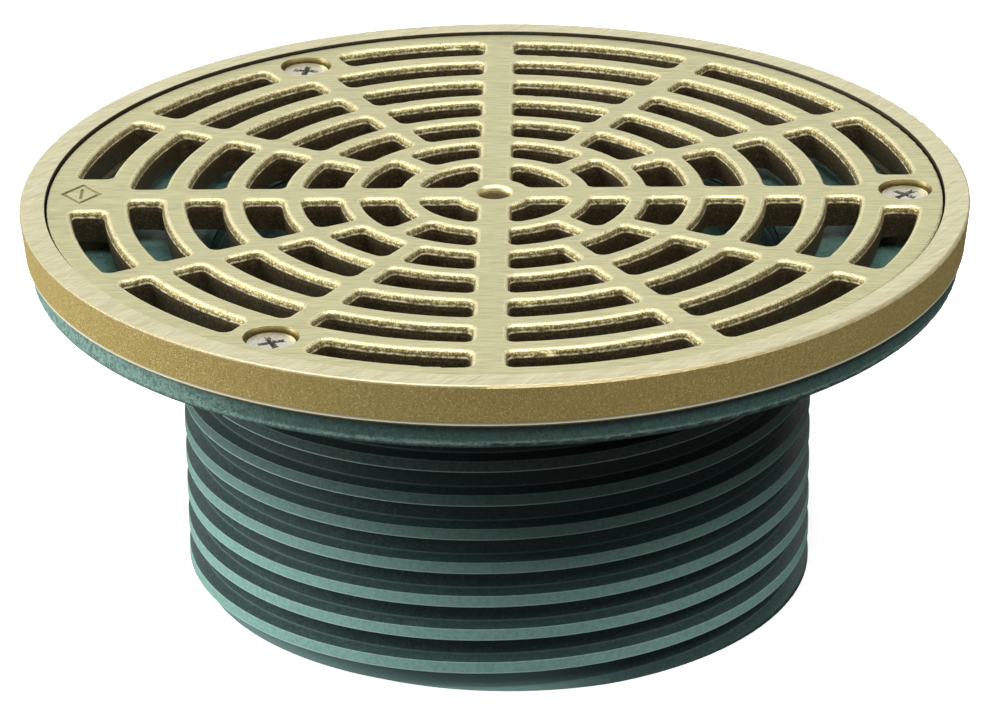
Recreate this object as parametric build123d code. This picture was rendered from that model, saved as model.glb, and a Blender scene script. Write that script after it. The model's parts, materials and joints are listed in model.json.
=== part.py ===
from build123d import *
import math
import os

# ---------------------------------------------------------------------------
# Round floor drain head: cast-iron flange and threaded shank, nickel-bronze
# rim, slotted nickel-bronze grate and its screws.  Millimetres, +Z up, origin
# on the axis at the bottom face of the threaded shank.
# ---------------------------------------------------------------------------

# overall
TOP_Z = 70.65           # rim top face above the shank's bottom face
RIM_R = 83.5            # rim outer radius at the top face
RIM_LOW_R = 82.7        # rim outer radius at its lower edge (inward draft)
RIM_H = 8.0             # height of the rim's outer side

# rim
RIM_BORE_R = 79.05      # wall around the grate
LEDGE_R = 75.0          # inner radius of the ledge under the grate
LEDGE_TOP = 63.85       # ledge upper face
RIM_TOP_ROUND = 0.5
RIM_BORE_ROUND = 0.2
RIM_LOW_CHAMFER = 0.5
EAR_HALF = 5.5          # six ears reach in from the ledge on to the shelf
EAR_GAP = 0.2           # between an ear and the wall of the bowl
EAR_ANGLES = (60.0, 180.0, 300.0)    # ears that are screwed to the body

# body
FLANGE_R = 81.7
FLANGE_BOTTOM = 58.35
FLANGE_ROUND = 1.2
BOWL_FLOOR = 61.55      # shelf around the throat, inside the ledge
BOWL_R = 75.5           # wall of the shallow bowl, just behind the ledge
THROAT_R = 49.5
THROAT_LIP_ROUND = 5.2  # where the shelf turns down into the throat
NECK_FILLET = 2.5       # under the flange, around the shank
NECK_Z = 55.65          # the flange's neck ends and the threaded tube begins

# shank thread: single start, right hand, trapezoidal, 4 turns to the inch
PITCH = 6.35
CREST_R = 56.0
ROOT_R = 54.0
CREST_LAND = 2.05
ROOT_LAND = 2.85
THREAD_SINK = 0.6       # how far the ridge is let into the core
THREAD_END = 4.8        # the ridge's centre stops this far below the flange
CREST_ANGLE = 270.94    # a crest centre passes this angle ...
CREST_Z = 24.04         # ... at this height

# grate
GRATE_R = 78.7
GRATE_BOTTOM = 64.15
GRATE_TOP = 70.15
GRATE_EDGE_ROUND = 0.4
SLOT_ROUND = 1.25       # rounding of the slots' upper edges
SLOT_CORNER = 1.2       # plan corner radius of the slots
WALL_DEPTH = 2.2        # depth of the straight upper part of a slot
RELIEF_DRAFT = 9.0      # the lower part of a slot opens out downwards
# (inner radius, outer radius, spokes) of every ring of slots
RINGS = (
    (6.75, 13.45, 4),
    (17.10, 23.60, 8),
    (27.15, 33.80, 12),
    (37.40, 43.95, 12),
    (47.85, 54.10, 12),
    (58.45, 64.20, 12),
    (68.65, 74.35, 12),
)
SPOKE_Y_W = 6.1         # spokes at 90 and 270 degrees
SPOKE_X_W = 5.6         # spokes at 0 and 180 degrees
SPOKE_HUB_W = 2.7       # the other spokes: width at the axis ...
SPOKE_GROW = 0.0356     # ... and how it grows per mm of radius
SPOKE_45_W = 3.8        # the four short spokes of the second ring
PAD_HALF = 7.8          # half width of the solid pads in the outer ring
PAD_ANGLES = (0.0, 120.0, 180.0, 240.0)
HUB_HOLE_R = 2.8
HUB_HOLE_ROUND = 0.9
MARK_DEPTH = 0.25       # plain lozenge cast into the pad at 180 degrees
MARK_R = 72.8
MARK_ALONG = 4.6
MARK_ACROSS = 3.8
MARK_LINE = 0.55

# grate screws
SCREW_PCD_R = 72.2
SCREW_ANGLES = (0.0, 120.0, 240.0)
SCREW_TURNS = (45.0, 80.0, 22.0)    # how each cross recess is turned
RECESS_R = 4.75
HEAD_SINK = 1.0         # head face below the grate's top face
HEAD_R = 4.1
HEAD_RIM = 0.45
HEAD_H = 2.5
SHANK_R = 2.1
THREAD_ROOT_R = 1.72
SCREW_LEN = 9.5
FINE_PITCH = 0.794
SEAT_R = 4.3
SEAT_Z = 68.45
SEAT_LOW_Z = 66.6
GRATE_HOLE_R = 2.5
TAP_R = 2.4
BODY_HOLE_R = 2.6
CROSS_LONG = 4.5
CROSS_WIDE = 0.95
CROSS_DEPTH = 1.7

# rim screws, countersunk into the ears under the grate
RIM_SCREW_HEAD_R = 3.4
RIM_SCREW_R = 1.7
RIM_SCREW_ROOT_R = 1.35
RIM_SCREW_HEAD_H = 1.7
RIM_SCREW_TOP = 63.65
RIM_SCREW_RIM = 0.2
RIM_SCREW_LEN = 4.6
RIM_SCREW_GAP = 0.08
RIM_CROSS_LONG = 3.8
RIM_CROSS_WIDE = 0.8
RIM_CROSS_DEPTH = 1.1


def polar(radius, angle):
    """Point at a radius and an angle in degrees."""
    a = math.radians(angle)
    return (radius * math.cos(a), radius * math.sin(a))


def placed(shape, angle):
    """Move a fastener from the axis to its place on the screw circle."""
    x, y = polar(SCREW_PCD_R, angle)
    return Pos(x, y, 0) * shape


def revolve_profile(points, rounds=()):
    """Full turn of a closed (r, z) outline; rounds are (r, z, radius) of its corners."""
    face = make_face(Polyline(points, close=True))
    for r, z, radius in rounds:
        corners = [v for v in face.vertices() if math.hypot(v.X - r, v.Y - z) < 0.001]
        face = fillet(corners, radius)
    return revolve(Plane.XZ * face, axis=Axis.Z)


def disc(radius, z0, z1):
    """Plain cylinder on the axis between two heights."""
    return Pos(0, 0, (z0 + z1) / 2) * Cylinder(radius, z1 - z0)


def circle_edges(shape, radius, z):
    """Circular edges about the axis with this radius at this height."""
    found = []
    for edge in shape.edges().filter_by(GeomType.CIRCLE):
        centre = edge.arc_center
        on_axis = math.hypot(centre.X, centre.Y) < 0.01
        if on_axis and abs(edge.radius - radius) < 0.01 and abs(centre.Z - z) < 0.01:
            found.append(edge)
    return found


def thread_ridge():
    """Helical ridge of the shank, from below its bottom to just under the flange."""
    inner = ROOT_R - THREAD_SINK
    flank = (PITCH - CREST_LAND - ROOT_LAND) / 2
    slope = flank / (CREST_R - ROOT_R)
    foot = CREST_LAND / 2 + flank + slope * THREAD_SINK
    start = CREST_Z - PITCH * math.ceil(CREST_Z / PITCH + 0.5)
    height = FLANGE_BOTTOM - THREAD_END - start
    path = Pos(0, 0, start) * Helix(pitch=PITCH, height=height, radius=ROOT_R)
    plane = Plane(origin=(ROOT_R, 0, start), x_dir=(1, 0, 0), z_dir=(0, -1, 0))
    outline = plane * Polygon(
        (inner - ROOT_R, -foot),
        (CREST_R - ROOT_R, -CREST_LAND / 2),
        (CREST_R - ROOT_R, CREST_LAND / 2),
        (inner - ROOT_R, foot),
        align=None,
    )
    ridge = sweep(outline, path=path, is_frenet=True)
    return Rot(0, 0, CREST_ANGLE) * ridge


def drain_flange():
    """Cast-iron flange with its shallow bowl, down to the neck of the shank."""
    outline = [
        (THROAT_R, NECK_Z),
        (ROOT_R, NECK_Z),
        (ROOT_R, FLANGE_BOTTOM),
        (FLANGE_R, FLANGE_BOTTOM),
        (FLANGE_R, TOP_Z - RIM_H),
        (BOWL_R, TOP_Z - RIM_H),
        (BOWL_R, BOWL_FLOOR),
        (THROAT_R, BOWL_FLOOR),
    ]
    rounds = [
        (ROOT_R, FLANGE_BOTTOM, NECK_FILLET),
        (FLANGE_R, FLANGE_BOTTOM, FLANGE_ROUND),
        (THROAT_R, BOWL_FLOOR, THROAT_LIP_ROUND),
    ]
    flange = revolve_profile(outline, rounds)
    low, high = FLANGE_BOTTOM - 1, BOWL_FLOOR + 1
    for angle in SCREW_ANGLES:
        flange = flange - placed(disc(BODY_HOLE_R, low, high), angle)
    for angle in EAR_ANGLES:
        flange = flange - placed(disc(RIM_SCREW_R + RIM_SCREW_GAP, low, high), angle)
    return flange


def threaded_shank():
    """Cast-iron tube below the neck, open at both ends, with its coarse thread."""
    tube = disc(ROOT_R, 0, NECK_Z) - disc(THROAT_R, -1, NECK_Z + 1)
    tube = tube + thread_ridge()
    return tube - disc(FLANGE_R, -2 * PITCH, 0)


def ear(angle):
    """One ear: reaches in from the ledge and stands on the body's shelf."""
    low = TOP_Z - RIM_H
    nose = Pos(SCREW_PCD_R, 0, 0) * disc(EAR_HALF, BOWL_FLOOR, LEDGE_TOP)
    nose = nose & disc(BOWL_R - EAR_GAP, BOWL_FLOOR, LEDGE_TOP)
    reach = LEDGE_R + 1 - SCREW_PCD_R
    bridge = Box(reach, 2 * EAR_HALF, LEDGE_TOP - low, align=(Align.MIN, Align.CENTER, Align.MIN))
    return Rot(0, 0, angle) * (nose + Pos(SCREW_PCD_R, 0, low) * bridge)


def rim_screw_profile(gap):
    """Outline of a rim screw's head and shank, grown by a gap for its seat."""
    top = RIM_SCREW_TOP
    return [
        (0, top),
        (RIM_SCREW_HEAD_R + gap, top),
        (RIM_SCREW_HEAD_R + gap, top - RIM_SCREW_RIM - gap),
        (RIM_SCREW_R + gap, top - RIM_SCREW_HEAD_H - gap),
        (RIM_SCREW_R + gap, top - RIM_SCREW_LEN - 1),
        (0, top - RIM_SCREW_LEN - 1),
    ]


def rim_frame():
    """Nickel-bronze rim with the grate's ledge and six ears."""
    low = TOP_Z - RIM_H
    outline = [
        (LEDGE_R, low),
        (RIM_LOW_R - RIM_LOW_CHAMFER, low),
        (RIM_LOW_R, low + RIM_LOW_CHAMFER),
        (RIM_R, TOP_Z),
        (RIM_BORE_R, TOP_Z),
        (RIM_BORE_R, LEDGE_TOP),
        (LEDGE_R, LEDGE_TOP),
    ]
    rounds = [(RIM_R, TOP_Z, RIM_TOP_ROUND), (RIM_BORE_R, TOP_Z, RIM_BORE_ROUND)]
    rim = revolve_profile(outline, rounds)
    for angle in SCREW_ANGLES + EAR_ANGLES:
        rim = rim + ear(angle)
    for angle in SCREW_ANGLES:
        rim = rim - placed(disc(TAP_R, BOWL_FLOOR - 1, LEDGE_TOP + 1), angle)
    seat = revolve_profile(rim_screw_profile(RIM_SCREW_GAP))
    seat = seat + disc(RIM_SCREW_HEAD_R + RIM_SCREW_GAP, RIM_SCREW_TOP - RIM_SCREW_RIM, LEDGE_TOP + 1)
    for angle in EAR_ANGLES:
        rim = rim - placed(seat, angle)
    return rim


def spoke(angle, count):
    """Plan outline of the solid spoke at an angle, from the axis outwards."""
    length = GRATE_R + 1
    if angle % 180 == 90:
        near, far = SPOKE_Y_W, SPOKE_Y_W
    elif angle % 180 == 0:
        near, far = SPOKE_X_W, SPOKE_X_W
    elif count == 8:
        near, far = SPOKE_45_W, SPOKE_45_W
    else:
        near, far = SPOKE_HUB_W, SPOKE_HUB_W + SPOKE_GROW * length
    outline = Polygon((0, -near / 2), (length, -far / 2), (length, far / 2), (0, near / 2), align=None)
    return Rot(0, 0, angle) * outline


def slot_faces():
    """Plan outlines of all the slots, with rounded corners."""
    faces = []
    for inner, outer, count in RINGS:
        ring = Circle(outer) - Circle(inner)
        for i in range(count):
            ring = ring - spoke(i * 360 / count, count)
        if outer == RINGS[-1][1]:
            for angle in PAD_ANGLES:
                pad = Pos(SCREW_PCD_R, 0, 0) * Rectangle(4 * SLOT_CORNER + outer - inner, 2 * PAD_HALF)
                ring = ring - Rot(0, 0, angle) * pad
        for face in ring.faces():
            rounded = fillet(Sketch(face.wrapped).vertices(), SLOT_CORNER)
            faces.append(rounded)
    return faces


def lozenge(along, across):
    """Four-sided plan outline, long way round the grate."""
    return Polygon((-across, 0), (0, -along), (across, 0), (0, along), align=None)


def strainer_grate():
    """Slotted grate: rounded upper edges, slots that open out below."""
    grate = disc(GRATE_R, GRATE_BOTTOM, GRATE_TOP)
    waist = GRATE_TOP - WALL_DEPTH
    cutters = []
    for face in slot_faces():
        cutters.append(extrude(Pos(0, 0, waist) * face, amount=WALL_DEPTH + 1))
        cutters.append(extrude(Pos(0, 0, waist) * face, amount=GRATE_BOTTOM - waist, taper=-RELIEF_DRAFT))
    grate = grate - cutters
    tops = []
    for edge in grate.edges():
        centre = edge.center()
        reach = math.hypot(centre.X, centre.Y)
        box = edge.bounding_box()
        flat = box.max.Z - box.min.Z < 0.001 and abs(box.max.Z - GRATE_TOP) < 0.001
        if flat and reach > 1 and reach < RINGS[-1][1] + 1:
            tops.append(edge)
    grate = fillet(tops, SLOT_ROUND)
    grate = fillet(circle_edges(grate, GRATE_R, GRATE_TOP), GRATE_EDGE_ROUND)
    grate = grate - disc(HUB_HOLE_R, GRATE_BOTTOM - 1, GRATE_TOP + 1)
    grate = fillet(circle_edges(grate, HUB_HOLE_R, GRATE_TOP), HUB_HOLE_ROUND)
    seat = revolve_profile([
        (0, GRATE_TOP + 1),
        (RECESS_R, GRATE_TOP + 1),
        (RECESS_R, SEAT_Z),
        (SEAT_R, SEAT_Z),
        (GRATE_HOLE_R, SEAT_LOW_Z),
        (GRATE_HOLE_R, GRATE_BOTTOM - 1),
        (0, GRATE_BOTTOM - 1),
    ])
    for angle in SCREW_ANGLES:
        grate = grate - placed(seat, angle)
    mark = lozenge(MARK_ALONG, MARK_ACROSS) - lozenge(MARK_ALONG - 2 * MARK_LINE, MARK_ACROSS - 2 * MARK_LINE)
    mark = mark + Rectangle(MARK_LINE, MARK_ALONG)
    mark = Pos(-MARK_R, 0, GRATE_TOP - MARK_DEPTH) * mark
    grate = grate - extrude(mark, amount=1)
    return grate


def cross_recess(top, long, wide, depth):
    """Tapering cross socket with its open end at a height."""
    plan = Rectangle(long, wide) + Rectangle(wide, long)
    cut = extrude(Pos(0, 0, top) * plan, amount=-depth, taper=14)
    return cut


def ringed_shank(root, crest, top, bottom):
    """(r, z) points down a shank whose thread is drawn as fine ridges."""
    points = []
    z = top
    while z - FINE_PITCH > bottom:
        points.append((crest, z))
        points.append((root, z - FINE_PITCH / 2))
        z -= FINE_PITCH
    points.append((root, z))
    points.append((root - 0.3, bottom))
    return points


def grate_screw(turn):
    """Flat-head screw with a cross recess, standing on the axis."""
    top = GRATE_TOP - HEAD_SINK
    tip = top - SCREW_LEN
    neck = top - HEAD_H - HEAD_RIM / 2
    outline = [(0, top), (HEAD_R, top), (HEAD_R, top - HEAD_RIM), (SHANK_R, top - HEAD_H)]
    outline += ringed_shank(THREAD_ROOT_R, SHANK_R, neck, tip)
    outline.append((0, tip))
    screw = revolve_profile(outline)
    return screw - Rot(0, 0, turn) * cross_recess(top, CROSS_LONG, CROSS_WIDE, CROSS_DEPTH)


def rim_screw():
    """Small flat-head screw that holds an ear down to the body."""
    top = RIM_SCREW_TOP
    tip = top - RIM_SCREW_LEN
    neck = top - RIM_SCREW_HEAD_H - RIM_SCREW_RIM
    outline = [(0, top), (RIM_SCREW_HEAD_R, top), (RIM_SCREW_HEAD_R, top - RIM_SCREW_RIM)]
    outline.append((RIM_SCREW_R, top - RIM_SCREW_HEAD_H))
    outline += ringed_shank(RIM_SCREW_ROOT_R, RIM_SCREW_R, neck, tip)
    outline.append((0, tip))
    screw = revolve_profile(outline)
    return screw - cross_recess(top, RIM_CROSS_LONG, RIM_CROSS_WIDE, RIM_CROSS_DEPTH)


def main():
    os.makedirs("parts", exist_ok=True)
    nodes = {
        "drain_flange": drain_flange(),
        "threaded_shank": threaded_shank(),
        "rim_frame": rim_frame(),
        "strainer_grate": strainer_grate(),
    }
    for number, (angle, turn) in enumerate(zip(SCREW_ANGLES, SCREW_TURNS), start=1):
        nodes[f"grate_screw_{number}"] = placed(grate_screw(turn), angle)
    for number, angle in enumerate(EAR_ANGLES, start=1):
        nodes[f"rim_screw_{number}"] = placed(Rot(0, 0, angle) * rim_screw(), angle)
    for name, shape in nodes.items():
        shape.label = name
        export_step(shape, f"parts/{name}.step")
        print(name, "valid" if shape.is_valid else "NOT VALID", len(shape.solids()), round(shape.volume, 1))


if __name__ == "__main__":
    main()
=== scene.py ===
import json
import math

import bpy
from mathutils import Matrix, Vector


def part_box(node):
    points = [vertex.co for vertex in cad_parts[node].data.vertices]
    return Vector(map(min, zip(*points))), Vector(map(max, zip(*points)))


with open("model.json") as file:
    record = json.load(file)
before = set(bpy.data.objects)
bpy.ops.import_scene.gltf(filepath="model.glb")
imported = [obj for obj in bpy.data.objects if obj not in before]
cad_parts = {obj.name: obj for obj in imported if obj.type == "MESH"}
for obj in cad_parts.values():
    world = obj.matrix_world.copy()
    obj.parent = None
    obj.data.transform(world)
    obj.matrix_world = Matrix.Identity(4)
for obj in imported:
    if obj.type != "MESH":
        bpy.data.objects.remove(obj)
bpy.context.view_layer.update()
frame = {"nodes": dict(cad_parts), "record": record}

MM = 0.001

# Camera: a long lens looking down at the head from the front.
LENS = 182.7
SENSOR = 36.0
DISTANCE = 0.8932
TILT = math.radians(24.178)
TURN = math.radians(0.943)
ROLL = math.radians(0.702)
TARGET_BELOW_RIM = 0.0269
TARGET = Vector((0.0006, -0.0121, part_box("rim_frame")[1].z - TARGET_BELOW_RIM))

# Thread of the shank, as the CAD has it.
PITCH = 6.35 * MM
CREST_ANGLE = math.radians(270.94)
CREST_Z = 24.04 * MM
CREST_LAND = 2.05 * MM
CREST_R = 56.0 * MM
ROOT_R = 54.0 * MM

# Other lengths of the CAD that the finishes follow.
FLANGE_LOW = 58.35 * MM
RIM_HEIGHT = 8.0 * MM
BORE_R = 79.05 * MM
BOWL_R = 75.5 * MM
THROAT_R = 49.5 * MM
HUB_HOLE_R = 2.8 * MM
RECESS_R = 4.75 * MM
MARK_X = -72.8 * MM

# How each screw's cross recess is turned, in degrees, and its arms' half length and width.
GRATE_CROSS_TURNS = {"grate_screw_1": 45.0, "grate_screw_2": 80.0, "grate_screw_3": 22.0}
GRATE_CROSS = (2.2 * MM, 0.42 * MM)
RIM_CROSS_TURNS = {"rim_screw_1": 60.0, "rim_screw_2": 180.0, "rim_screw_3": 300.0}
RIM_CROSS = (1.9 * MM, 0.4 * MM)

# Colours of the grate.
BRUSHED = (0.83, 0.795, 0.45)
BRUSHED_DULL = (0.58, 0.55, 0.30)
BRUSHED_SCRATCH = (0.45, 0.42, 0.24)
EDGE_DARK = (0.38, 0.34, 0.17)
EDGE_PALE = (0.68, 0.62, 0.38)
CAST_SHADED_DARK = (0.14, 0.11, 0.040)
CAST_SHADED_PALE = (0.54, 0.47, 0.21)
LIP_HIGHLIGHT = (0.98, 0.90, 0.62)
SKIN_AND_SHADE_DARK = (0.045, 0.030, 0.012)
SKIN_AND_SHADE_PALE = (0.13, 0.095, 0.040)
HUB_WALL = (0.26, 0.20, 0.09)
HUB_RING = (0.80, 0.72, 0.42)
MARK_GRIME = (0.28, 0.24, 0.13)
RECESS_WALL_SHADE = (0.40, 0.33, 0.15)

# Colours of the rim.
RIM_DARK = (0.72, 0.67, 0.40)
RIM_PALE = (0.88, 0.83, 0.54)
RIM_PALE_CUT = (0.98, 0.96, 0.78)
RIM_DARK_CUT = (0.40, 0.34, 0.18)
SIDE_DARK = (0.46, 0.34, 0.095)
SIDE_PALE = (0.78, 0.62, 0.225)
SIDE_CLOUD = (0.60, 0.43, 0.13)
SIDE_SPECK = (1.0, 0.88, 0.48)
ROUND_PAINTED_SHADE = (0.38, 0.33, 0.18)
UPPER_EDGE_HIGHLIGHT = (1.0, 0.95, 0.78)
LOWER_EDGE_HIGHLIGHT = (1.0, 0.92, 0.70)
GAP_PAINTED_SHADE = (0.02, 0.014, 0.009)
INNER_DARK = (0.085, 0.060, 0.026)
INNER_PALE = (0.20, 0.15, 0.065)

# Colours of the painted iron.
PAINT_DARK = (0.018, 0.046, 0.041)
PAINT_LIT = (0.037, 0.084, 0.074)
PAINT_CLOUD = (0.033, 0.064, 0.058)
PAINT_SHADE = (0.010, 0.019, 0.018)
PAINT_SPECK = (0.24, 0.33, 0.31)
FOOT_PAINTED_LIGHT = (0.21, 0.36, 0.33)
CREST_DARK = (0.24, 0.45, 0.385)
CREST_PALE = (0.33, 0.60, 0.51)
CREST_SHADE_DARK = (0.026, 0.050, 0.046)
CREST_SHADE_PALE = (0.060, 0.100, 0.090)
CREST_EDGE_HIGHLIGHT = (0.60, 0.80, 0.71)
ROOT_EDGE_HIGHLIGHT = (0.22, 0.31, 0.29)
FLANGE_DARK = (0.11, 0.21, 0.175)
FLANGE_PALE = (0.30, 0.48, 0.41)
FLANGE_SHADE = (0.035, 0.080, 0.070)
BOWL_DARK = (0.042, 0.090, 0.078)
BOWL_PALE = (0.105, 0.205, 0.172)

# Colours of the screws.
STEEL_DARK = (0.74, 0.71, 0.58)
STEEL_PALE = (0.91, 0.88, 0.76)
STEEL_CLOUD = (0.66, 0.62, 0.53)
CROSS_DARK = (0.055, 0.048, 0.035)
TURNING = 0.35 * MM     # spacing of the fine rings a lathe leaves

# Surroundings: how bright they are below, in front and behind, and at the right.
SKY_LOW = 0.07
SKY_FRONT = 0.22
SKY_BACK = 0.80
SKY_RIGHT = 0.40

# Soft boxes: name, place, point faced, width, height, radiance.
MIDDLE = (0.0, 0.0, 0.05)
BOXES = (
    ("top_box", (0.0, -0.40, 1.05), (0.0, -0.1, 0.05), 1.1, 0.8, 4.6),
    ("left_box", (-1.05, 0.0, 0.50), MIDDLE, 0.7, 0.8, 8.0),
    ("right_box", (0.64, -0.42, 1.10), MIDDLE, 0.5, 0.5, 7.0),
)

FLOOR_REACH = 4.0
FLOOR_Z = -0.05 * MM    # just clear of the shank's end
FLOOR_GLOW = 0.55
FLOOR_TINTS = ((0.90, 0.90, 0.895), (0.92, 0.92, 0.92))
WHITE = (1.0, 1.0, 1.0, 1.0)


class Tree:
    """A node tree, with short calls for the nodes used here."""

    def __init__(self, tree, coordinates):
        self.tree = tree
        self.place = self.add("ShaderNodeTexCoord").outputs[coordinates]
        split = self.add("ShaderNodeSeparateXYZ")
        self.join(self.place, split.inputs[0])
        self.x, self.y, self.z = split.outputs

    def add(self, kind, **settings):
        node = self.tree.nodes.new(kind)
        for name, value in settings.items():
            setattr(node, name, value)
        return node

    def join(self, source, socket):
        """Links an output to a socket, or sets the socket to a plain value."""
        if isinstance(source, bpy.types.NodeSocket):
            self.tree.links.new(source, socket)
        else:
            socket.default_value = source

    def math(self, operation, first, *others):
        """One operation over all the values, from left to right."""
        for other in others or (0.0,):
            node = self.add("ShaderNodeMath", operation=operation)
            self.join(first, node.inputs[0])
            self.join(other, node.inputs[1])
            first = node.outputs[0]
        return first

    def times(self, *values):
        return self.math("MULTIPLY", *values)

    def plus(self, *values):
        return self.math("ADD", *values)

    def minus(self, a, b):
        return self.math("SUBTRACT", a, b)

    def most(self, *values):
        return self.math("MAXIMUM", *values)

    def reach(self, x, y):
        """Distance from the origin in the plan."""
        return self.math("SQRT", self.plus(self.math("POWER", x, 2.0), self.math("POWER", y, 2.0)))

    def band(self, value, low, high, start=0.0, end=1.0):
        """Smooth step from start to end as the value goes from low to high."""
        node = self.add("ShaderNodeMapRange", interpolation_type="SMOOTHSTEP")
        for part, socket in zip((value, low, high, start, end), node.inputs):
            self.join(part, socket)
        return node.outputs[0]

    def around(self, value, centre, half):
        """1 where the value is at the centre, fading to 0 at half away from it."""
        return self.band(self.math("ABSOLUTE", self.minus(value, centre)), 0.0, half, 1.0, 0.0)


class Finish(Tree):
    """A material of one principled shader, in the object's own coordinates."""

    def __init__(self, name):
        self.material = bpy.data.materials.new(name)
        self.material.use_nodes = True
        super().__init__(self.material.node_tree, "Object")
        self.shader = self.tree.nodes["Principled BSDF"]
        self.radius = self.reach(self.x, self.y)

    def stretch(self, scale, turn):
        """Coordinates along a direction turned about Z, scaled per axis."""
        node = self.add("ShaderNodeMapping", vector_type="TEXTURE")
        self.join(self.place, node.inputs["Vector"])
        node.inputs["Rotation"].default_value = (0.0, 0.0, math.radians(turn))
        node.inputs["Scale"].default_value = [1.0 / part for part in scale]
        return node.outputs[0]

    def noise(self, scale, detail, roughness, vector=None):
        node = self.add("ShaderNodeTexNoise")
        self.join(vector or self.place, node.inputs["Vector"])
        node.inputs["Scale"].default_value = scale
        node.inputs["Detail"].default_value = detail
        node.inputs["Roughness"].default_value = roughness
        return node.outputs[0]

    def strokes(self, scale, turn, detail, roughness):
        """Noise drawn out into strokes, for brushing and scratches."""
        return self.noise(1.0, detail, roughness, self.stretch(scale, turn))

    def mix(self, factor, a, b):
        """Colour from a to b."""
        node = self.add("ShaderNodeMix", data_type="RGBA")
        self.join(factor, node.inputs[0])
        for value, socket in ((a, node.inputs[6]), (b, node.inputs[7])):
            self.join(value if isinstance(value, bpy.types.NodeSocket) else (*value, 1.0), socket)
        return node.outputs[2]

    def blend(self, factor, a, b):
        """Number from a to b."""
        node = self.add("ShaderNodeMix", data_type="FLOAT")
        for value, socket in zip((factor, a, b), (node.inputs[0], node.inputs[2], node.inputs[3])):
            self.join(value, socket)
        return node.outputs[0]

    def bump(self, height, depth, strength, normal=None):
        node = self.add("ShaderNodeBump")
        node.inputs["Strength"].default_value = strength
        node.inputs["Distance"].default_value = depth
        self.join(height, node.inputs["Height"])
        if normal:
            self.join(normal, node.inputs["Normal"])
        return node.outputs[0]

    def finish(self, colour, roughness, normal, metallic=0.0):
        self.join(colour, self.shader.inputs["Base Color"])
        self.join(roughness, self.shader.inputs["Roughness"])
        self.join(normal, self.shader.inputs["Normal"])
        self.join(metallic, self.shader.inputs["Metallic"])
        return self.material


def grate_bronze():
    """Brushed top, grainy cast edges round the slots with painted shade and a painted highlight line, dark
    skin lower down that is partly painted shade, and painted shade in the screw recesses.
    """
    n = Finish("grate_bronze")
    sunk = n.minus(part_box("strainer_grate")[1].z, n.z)
    wander = n.times(n.minus(n.noise(600, 3, 0.6), 0.5), 0.40 * MM)
    depth = n.plus(sunk, wander)
    face = n.band(sunk, 0.12 * MM, 0.03 * MM)

    fine = n.strokes((200, 3200, 500), 0.5, 3, 0.7)
    broad = n.strokes((30, 700, 80), -1.0, 3, 0.6)
    lines = n.blend(0.2, fine, broad)
    brushed = n.mix(n.band(lines, 0.34, 0.64), BRUSHED_DULL, BRUSHED)
    cloud = n.band(n.noise(28, 3, 0.55), 0.40, 0.75)
    brushed = n.mix(n.times(cloud, 0.25), brushed, BRUSHED_DULL)
    brushed = n.mix(n.times(n.band(fine, 0.34, 0.22), 0.5), brushed, BRUSHED_SCRATCH)

    # down the wall of a slot: bright upper edge, cast band darkened as painted shade, a broken painted
    # highlight along the lip, dark skin that is partly painted shade
    coarse = n.noise(1200, 3, 0.65)
    mottle = n.blend(0.35, n.noise(2900, 2, 0.7), coarse)
    edge = n.mix(n.band(mottle, 0.38, 0.52), EDGE_DARK, EDGE_PALE)
    # as-cast band, partly painted shade: its colour turns darker than the upper edge from about 0.3 to 0.5
    # mm down
    cast = n.mix(n.band(mottle, 0.44, 0.66), CAST_SHADED_DARK, CAST_SHADED_PALE)
    cast = n.mix(n.band(depth, 0.28 * MM, 0.52 * MM), edge, cast)
    # painted highlight: a broken pale line along the lip of each slot, made less metallic so it shows from
    # every side
    lip_highlight = n.times(n.around(depth, 1.26 * MM, 0.28 * MM), n.band(coarse, 0.36, 0.60, 0.15, 1.0))
    cast = n.mix(n.times(lip_highlight, 0.9), cast, LIP_HIGHLIGHT)
    # dark cast skin on the lower wall, partly painted shade of the undercut
    skin_and_shade = n.mix(n.band(mottle, 0.46, 0.66), SKIN_AND_SHADE_DARK, SKIN_AND_SHADE_PALE)
    low = n.band(depth, 1.42 * MM, 1.58 * MM)
    wall = n.mix(low, cast, skin_and_shade)

    hub_wall = n.band(n.radius, HUB_HOLE_R + 0.6 * MM, HUB_HOLE_R + 0.4 * MM)
    wall = n.mix(n.times(hub_wall, 0.8), wall, HUB_WALL)
    hub = n.band(n.radius, HUB_HOLE_R + 2.2 * MM, HUB_HOLE_R + 1.4 * MM)
    hub = n.times(hub, n.band(sunk, 1.1 * MM, 0.8 * MM))
    wall = n.mix(hub, wall, HUB_RING)

    mark = n.times(n.around(n.x, MARK_X, 5.2 * MM), n.around(n.y, 0.0, 5.0 * MM))
    mark = n.times(n.band(mark, 0.0, 0.05), n.band(n.radius, 77.5 * MM, 77.2 * MM))
    wall = n.mix(n.times(mark, n.band(sunk, 0.40 * MM, 0.30 * MM)), wall, MARK_GRIME)

    recess = 0.0
    for name in GRATE_CROSS_TURNS:
        low_corner, high_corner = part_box(name)
        centre = (low_corner + high_corner) / 2
        aside = n.reach(n.minus(n.x, centre.x), n.minus(n.y, centre.y))
        recess = n.most(recess, n.band(aside, RECESS_R + 0.35 * MM, RECESS_R + 0.15 * MM))
    # polished recess walls, darkened as painted shade
    wall = n.mix(n.times(recess, 0.8), wall, RECESS_WALL_SHADE)
    colour = n.mix(face, wall, brushed)

    smooth = n.plus(n.times(lines, 0.16), 0.26)
    rough = n.plus(n.times(mottle, 0.30), n.times(low, 0.12), 0.30)
    roughness = n.blend(face, rough, smooth)

    shiny = n.most(face, hub, recess)
    normal = n.bump(n.times(mottle, n.minus(1.0, shiny)), 0.16 * MM, 0.8)
    normal = n.bump(n.times(lines, face), 0.08 * MM, 0.5, normal)
    metal = n.most(shiny, n.minus(0.65, n.most(n.times(lip_highlight, 0.65), n.times(low, 0.3))))
    return n.finish(colour, roughness, normal, metal)


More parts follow.
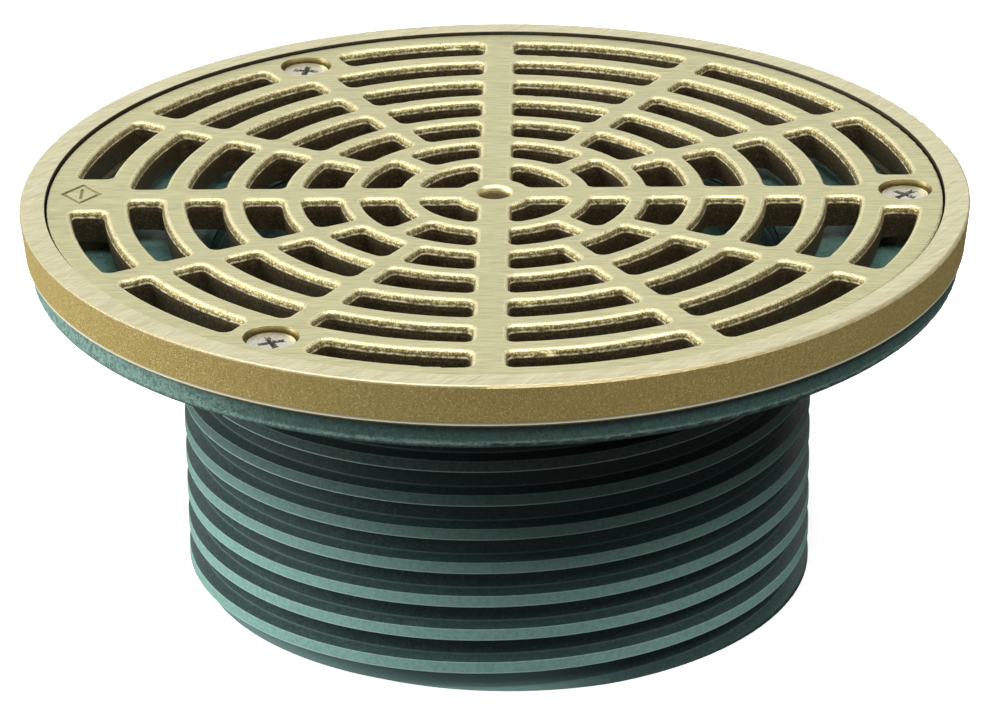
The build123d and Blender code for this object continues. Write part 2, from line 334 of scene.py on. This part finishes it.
def rim_bronze():
    """Brushed and scratched top, sandy cast side with a painted highlight along its lower edge; painted
    shade and a painted highlight on the rounded top edge, and painted black shade in the gap round the
    grate.
    """
    n = Finish("rim_bronze")
    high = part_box("rim_frame")[1].z
    face = n.band(n.z, high - 0.06 * MM, high - 0.02 * MM)

    lines = n.blend(0.5, n.strokes((90, 1500, 400), 8, 3, 0.65), n.strokes((80, 1100, 300), 48, 3, 0.6))
    pale_cut = n.band(n.strokes((170, 1700, 60), 60, 2, 0.5), 0.60, 0.70)
    dark_cut = n.band(n.strokes((130, 1500, 60), 52, 2, 0.5), 0.35, 0.27)
    brushed = n.mix(n.band(lines, 0.34, 0.62), RIM_DARK, RIM_PALE)
    brushed = n.mix(n.times(pale_cut, 0.6), brushed, RIM_PALE_CUT)
    brushed = n.mix(n.times(dark_cut, 0.4), brushed, RIM_DARK_CUT)

    grain = n.noise(3600, 2, 0.7)
    mottle = n.blend(0.35, grain, n.noise(1500, 3, 0.6))
    cast = n.mix(n.band(mottle, 0.30, 0.70), SIDE_DARK, SIDE_PALE)
    cloud = n.band(n.noise(45, 3, 0.6), 0.42, 0.72)
    cast = n.mix(n.times(cloud, 0.35), cast, SIDE_CLOUD)
    cast = n.mix(n.times(n.band(grain, 0.60, 0.66), 0.8), cast, SIDE_SPECK)

    # the rounded edge of the top: painted shade over the round, a little lighter at the front, and a
    # painted highlight along the front only
    lower_highlight = n.around(n.z, high - RIM_HEIGHT + 0.66 * MM, 0.55 * MM)
    upper_highlight = n.times(n.around(n.z, high - 0.08 * MM, 0.16 * MM), 0.35)
    beside = n.band(n.y, -78.0 * MM, -62.0 * MM)
    round_shade = n.times(n.plus(beside, 4.0), 0.19)
    # painted shade on the rounded top edge, a little less at the front
    cast = n.mix(n.times(n.band(n.z, high - 0.65 * MM, high - 0.40 * MM), round_shade), cast, ROUND_PAINTED_SHADE)
    # painted highlight: a pale line along the top edge at the front
    cast = n.mix(n.times(upper_highlight, n.minus(1.0, beside)), cast, UPPER_EDGE_HIGHLIGHT)
    # painted highlight: a pale line along the lower edge of the side, made less metallic
    cast = n.mix(lower_highlight, cast, LOWER_EDGE_HIGHLIGHT)

    # inside: painted black shade in the gap round the grate, and plain dark bronze under it
    bore = n.band(n.radius, BORE_R + 1.35 * MM, BORE_R + 0.95 * MM)
    bore = n.times(bore, n.band(n.z, high - 0.02 * MM, high - 0.10 * MM))
    below = n.mix(n.band(mottle, 0.40, 0.64), INNER_DARK, INNER_PALE)
    gap_shade = n.mix(n.band(n.z, high - 1.2 * MM, high - 3.0 * MM), GAP_PAINTED_SHADE, below)
    cast = n.mix(bore, cast, gap_shade)
    colour = n.mix(n.times(face, n.minus(1.0, bore)), cast, brushed)

    smooth = n.plus(n.times(lines, 0.18), 0.26)
    rough = n.plus(n.times(mottle, 0.35), 0.28)
    roughness = n.blend(face, rough, smooth)

    away = n.minus(1.0, n.most(face, lower_highlight, upper_highlight))
    normal = n.bump(n.times(mottle, away), 0.16 * MM, 0.8)
    marks = n.plus(lines, n.times(n.minus(pale_cut, dark_cut), 0.3))
    normal = n.bump(n.times(marks, face), 0.03 * MM, 0.4, normal)
    metal = n.most(face, n.minus(0.30, n.times(lower_highlight, 0.30)))
    return n.finish(colour, roughness, normal, metal)


def painted_iron():
    """Dark green paint over a sandy cast skin, rubbed pale along the thread crests; the crests darken
    towards the flange as painted shade, with painted shade on the upper shank and under the rim, painted
    highlights along the crest and root edges, and painted light round the left of the foot.
    """
    n = Finish("painted_iron")

    # distance above or below the middle of the nearest crest, from the helix
    turn = n.math("DIVIDE", n.minus(n.math("ARCTAN2", n.y, n.x), CREST_ANGLE), 2 * math.pi)
    phase = n.minus(n.math("DIVIDE", n.minus(n.z, CREST_Z), PITCH), turn)
    phase = n.minus(n.math("FRACT", n.plus(phase, 0.5)), 0.5)
    off = n.times(phase, PITCH)

    shank = n.band(n.z, FLANGE_LOW - 0.4 * MM, FLANGE_LOW - 0.9 * MM)
    crest = n.times(n.band(n.radius, CREST_R - 0.16 * MM, CREST_R - 0.03 * MM), shank)
    throat = n.times(n.band(n.radius, THROAT_R + 1.0 * MM, THROAT_R + 0.4 * MM), shank)
    bowl = n.band(n.radius, BOWL_R + 1.0 * MM, BOWL_R + 0.4 * MM)
    bowl = n.times(n.band(n.z, FLANGE_LOW + 0.7 * MM, FLANGE_LOW + 1.1 * MM), bowl)
    inside = n.most(throat, bowl)

    grain = n.noise(2600, 2, 0.7)
    lumps = n.noise(170, 2, 0.5)
    mottle = n.blend(0.5, grain, n.noise(1100, 3, 0.6))
    cloud = n.band(n.noise(45, 3, 0.6), 0.42, 0.72)
    dark = n.mix(n.band(mottle, 0.36, 0.64), PAINT_DARK, PAINT_LIT)
    dark = n.mix(n.times(cloud, 0.4), dark, PAINT_CLOUD)
    # painted light: a pale band round the foot of the shank, on its left half
    foot_light = n.times(n.band(n.z, 5.0 * MM, 3.5 * MM), n.minus(1.0, inside), n.band(n.x, 26.0 * MM, 0.0))
    dark = n.mix(n.times(foot_light, 0.9), dark, FOOT_PAINTED_LIGHT)
    dark = n.mix(n.times(n.band(n.z, 25 * MM, 45 * MM), shank, 0.6), dark, PAINT_SHADE)

    pale = n.mix(n.band(mottle, 0.34, 0.66), CREST_DARK, CREST_PALE)
    # painted shade: the pale crests darken up the shank towards the flange
    crest_shade = n.mix(n.band(mottle, 0.34, 0.66), CREST_SHADE_DARK, CREST_SHADE_PALE)
    rubbed_and_painted_light = n.mix(n.band(n.z, 14 * MM, 47 * MM), pale, crest_shade)
    # painted highlight: a pale line along the lower edge of each crest, faint along the upper edge
    crest_lower_highlight = n.around(off, -CREST_LAND / 2, 0.28 * MM)
    crest_upper_highlight = n.around(off, CREST_LAND / 2, 0.18 * MM)
    edge = n.most(crest_lower_highlight, n.times(crest_upper_highlight, 0.15))
    rubbed_and_painted_light = n.mix(n.times(edge, 0.85), rubbed_and_painted_light, CREST_EDGE_HIGHLIGHT)
    run_out = n.band(n.z, 2.2 * MM, 3.2 * MM)
    colour = n.mix(n.times(crest, run_out), dark, rubbed_and_painted_light)

    # painted highlight: a thin pale line where each flank meets the root
    root_highlight = n.around(off, CREST_LAND / 2 + 0.80 * MM, 0.20 * MM)
    root_highlight = n.times(root_highlight, shank, n.band(n.radius, ROOT_R - 0.1 * MM, ROOT_R))
    colour = n.mix(n.times(root_highlight, 0.45), colour, ROOT_EDGE_HIGHLIGHT)

    rim = n.times(n.minus(1.0, shank), n.band(n.radius, 79 * MM, 80.5 * MM))
    flange = n.mix(n.band(mottle, 0.38, 0.60), FLANGE_DARK, FLANGE_PALE)
    shade = n.band(n.z, FLANGE_LOW + 0.9 * MM, FLANGE_LOW + 1.8 * MM)
    shade = n.times(shade, n.band(n.x, -62 * MM, -30 * MM))
    flange = n.mix(n.times(shade, 0.8), flange, FLANGE_SHADE)
    colour = n.mix(rim, colour, flange)
    patches = n.band(n.blend(0.65, lumps, mottle), 0.38, 0.60)
    colour = n.mix(inside, colour, n.mix(patches, BOWL_DARK, BOWL_PALE))
    colour = n.mix(n.times(n.band(grain, 0.62, 0.70), 0.22), colour, PAINT_SPECK)

    roughness = n.plus(n.times(mottle, 0.30), 0.32, n.times(inside, -0.06))
    sand = n.times(mottle, n.plus(n.times(crest, -0.6), 1.0))
    normal = n.bump(sand, 0.22 * MM, 0.8)
    normal = n.bump(n.times(lumps, inside), 1.1 * MM, 0.8, normal)
    return n.finish(colour, roughness, normal)


def stainless(name, turn, half_long, half_wide):
    """Pale turned steel head, near black over its rough-edged cross recess and a little past it."""
    n = Finish("stainless_" + name)
    low_corner, high_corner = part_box(name)
    centre = (low_corner + high_corner) / 2
    x = n.minus(n.x, centre.x)
    y = n.minus(n.y, centre.y)
    c, s = math.cos(math.radians(turn)), math.sin(math.radians(turn))
    u = n.math("ABSOLUTE", n.plus(n.times(x, c), n.times(y, s)))
    v = n.math("ABSOLUTE", n.minus(n.times(y, c), n.times(x, s)))
    along = n.minus(n.most(u, v), half_long)
    across = n.minus(n.math("MINIMUM", u, v), half_wide)
    # a ragged, near-black mark over the cross recess and a little past its edge, rougher and less metallic
    ragged = n.times(n.minus(n.noise(1500, 3, 0.65), 0.5), 1.6 * MM)
    cross_dark = n.band(n.plus(n.most(along, across), ragged), 0.22 * MM, 0.0)

    grain = n.noise(2600, 3, 0.6)
    cloud = n.band(n.noise(260, 3, 0.6), 0.5, 0.75)
    steel = n.mix(n.band(grain, 0.35, 0.68), STEEL_DARK, STEEL_PALE)
    steel = n.mix(n.times(cloud, 0.25), steel, STEEL_CLOUD)
    steel = n.mix(n.times(cross_dark, 0.92), steel, CROSS_DARK)
    roughness = n.plus(n.times(grain, 0.25), n.times(cross_dark, 0.25), 0.22)
    rings = n.math("SINE", n.times(n.reach(x, y), 2 * math.pi / TURNING))
    height = n.plus(n.times(rings, 0.12), n.minus(grain, n.times(cross_dark, 0.5)))
    normal = n.bump(height, 0.10 * MM, 0.5)
    return n.finish(steel, roughness, normal, n.band(cross_dark, 0.0, 1.0, 1.0, 0.5))


def dress():
    """Gives every CAD node the finish of its slot."""
    shared = {"grate_bronze": grate_bronze(), "rim_bronze": rim_bronze(), "painted_iron": painted_iron()}
    slots = {part["node"]: part["material_slot"] for part in frame["record"]["subparts"]}
    for name, node in frame["nodes"].items():
        if slots[name] in shared:
            material = shared[slots[name]]
        elif name in GRATE_CROSS_TURNS:
            material = stainless(name, GRATE_CROSS_TURNS[name], *GRATE_CROSS)
        else:
            material = stainless(name, RIM_CROSS_TURNS[name], *RIM_CROSS)
        for slot in node.material_slots:
            slot.material = material


def camera():
    """Camera at the photo's angle, in front of the object and above it."""
    turned = Matrix.Rotation(TURN, 4, "Z")
    tilted = Matrix.Rotation(math.pi / 2 - TILT, 4, "X")
    look = turned @ tilted @ Matrix.Rotation(-ROLL, 4, "Z")
    back = look.to_3x3() @ Vector((0.0, 0.0, DISTANCE))
    data = bpy.data.cameras.new("camera")
    data.lens = LENS
    data.sensor_width = SENSOR
    data.sensor_fit = "HORIZONTAL"
    data.clip_start = 0.01
    data.clip_end = 50.0
    eye = bpy.data.objects.new("camera", data)
    eye.matrix_world = Matrix.Translation(turned.to_3x3() @ TARGET + back) @ look
    bpy.context.scene.collection.objects.link(eye)
    bpy.context.scene.camera = eye


def softbox(name, place, towards, width, height, radiance):
    """Soft rectangular light of an even radiance, facing a point."""
    data = bpy.data.lights.new(name, "AREA")
    data.shape = "RECTANGLE"
    data.size = width
    data.size_y = height
    data.energy = radiance * math.pi * width * height
    box = bpy.data.objects.new(name, data)
    way = Vector(towards) - Vector(place)
    box.matrix_world = Matrix.Translation(place) @ way.to_track_quat("-Z", "Y").to_matrix().to_4x4()
    box.visible_camera = False
    bpy.context.scene.collection.objects.link(box)


def surroundings():
    """Dim, even surroundings: pale behind, darker in front, below and at the right."""
    world = bpy.data.worlds.new("surroundings")
    world.use_nodes = True
    background = world.node_tree.nodes["Background"]
    n = Tree(world.node_tree, "Generated")
    depth = n.band(n.y, -0.6, 0.6, SKY_FRONT, SKY_BACK)
    level = n.band(n.z, -0.18, 0.06, SKY_LOW, depth)
    strength = n.times(level, n.band(n.x, 0.15, 0.85, 1.0, SKY_RIGHT))
    n.join(strength, background.inputs["Strength"])
    background.inputs["Color"].default_value = WHITE
    bpy.context.scene.world = world


def pale_floor():
    """Plain pale floor that lights and mirrors nothing, so no light comes up from below."""
    mesh = bpy.data.meshes.new("floor")
    corners = [(x * FLOOR_REACH, y * FLOOR_REACH, FLOOR_Z) for x, y in ((-1, -1), (1, -1), (1, 1), (-1, 1))]
    mesh.from_pydata(corners, [], [(0, 1, 2, 3)])
    floor = bpy.data.objects.new("floor", mesh)
    bpy.context.scene.collection.objects.link(floor)
    floor.visible_diffuse = False
    floor.visible_glossy = False
    n = Finish("floor")
    n.shader.inputs["Emission Color"].default_value = WHITE
    n.shader.inputs["Emission Strength"].default_value = FLOOR_GLOW
    tint = n.mix(n.noise(3.0, 2, 0.5), *FLOOR_TINTS)
    mesh.materials.append(n.finish(tint, 0.9, n.bump(n.noise(900, 2, 0.5), 0.02 * MM, 0.2)))


def studio():
    """Soft boxes, surroundings and floor."""
    bpy.context.scene.view_settings.view_transform = "Standard"
    surroundings()
    for box in BOXES:
        softbox(*box)
    pale_floor()


camera()
studio()
dress()

bpy.context.view_layer.update()
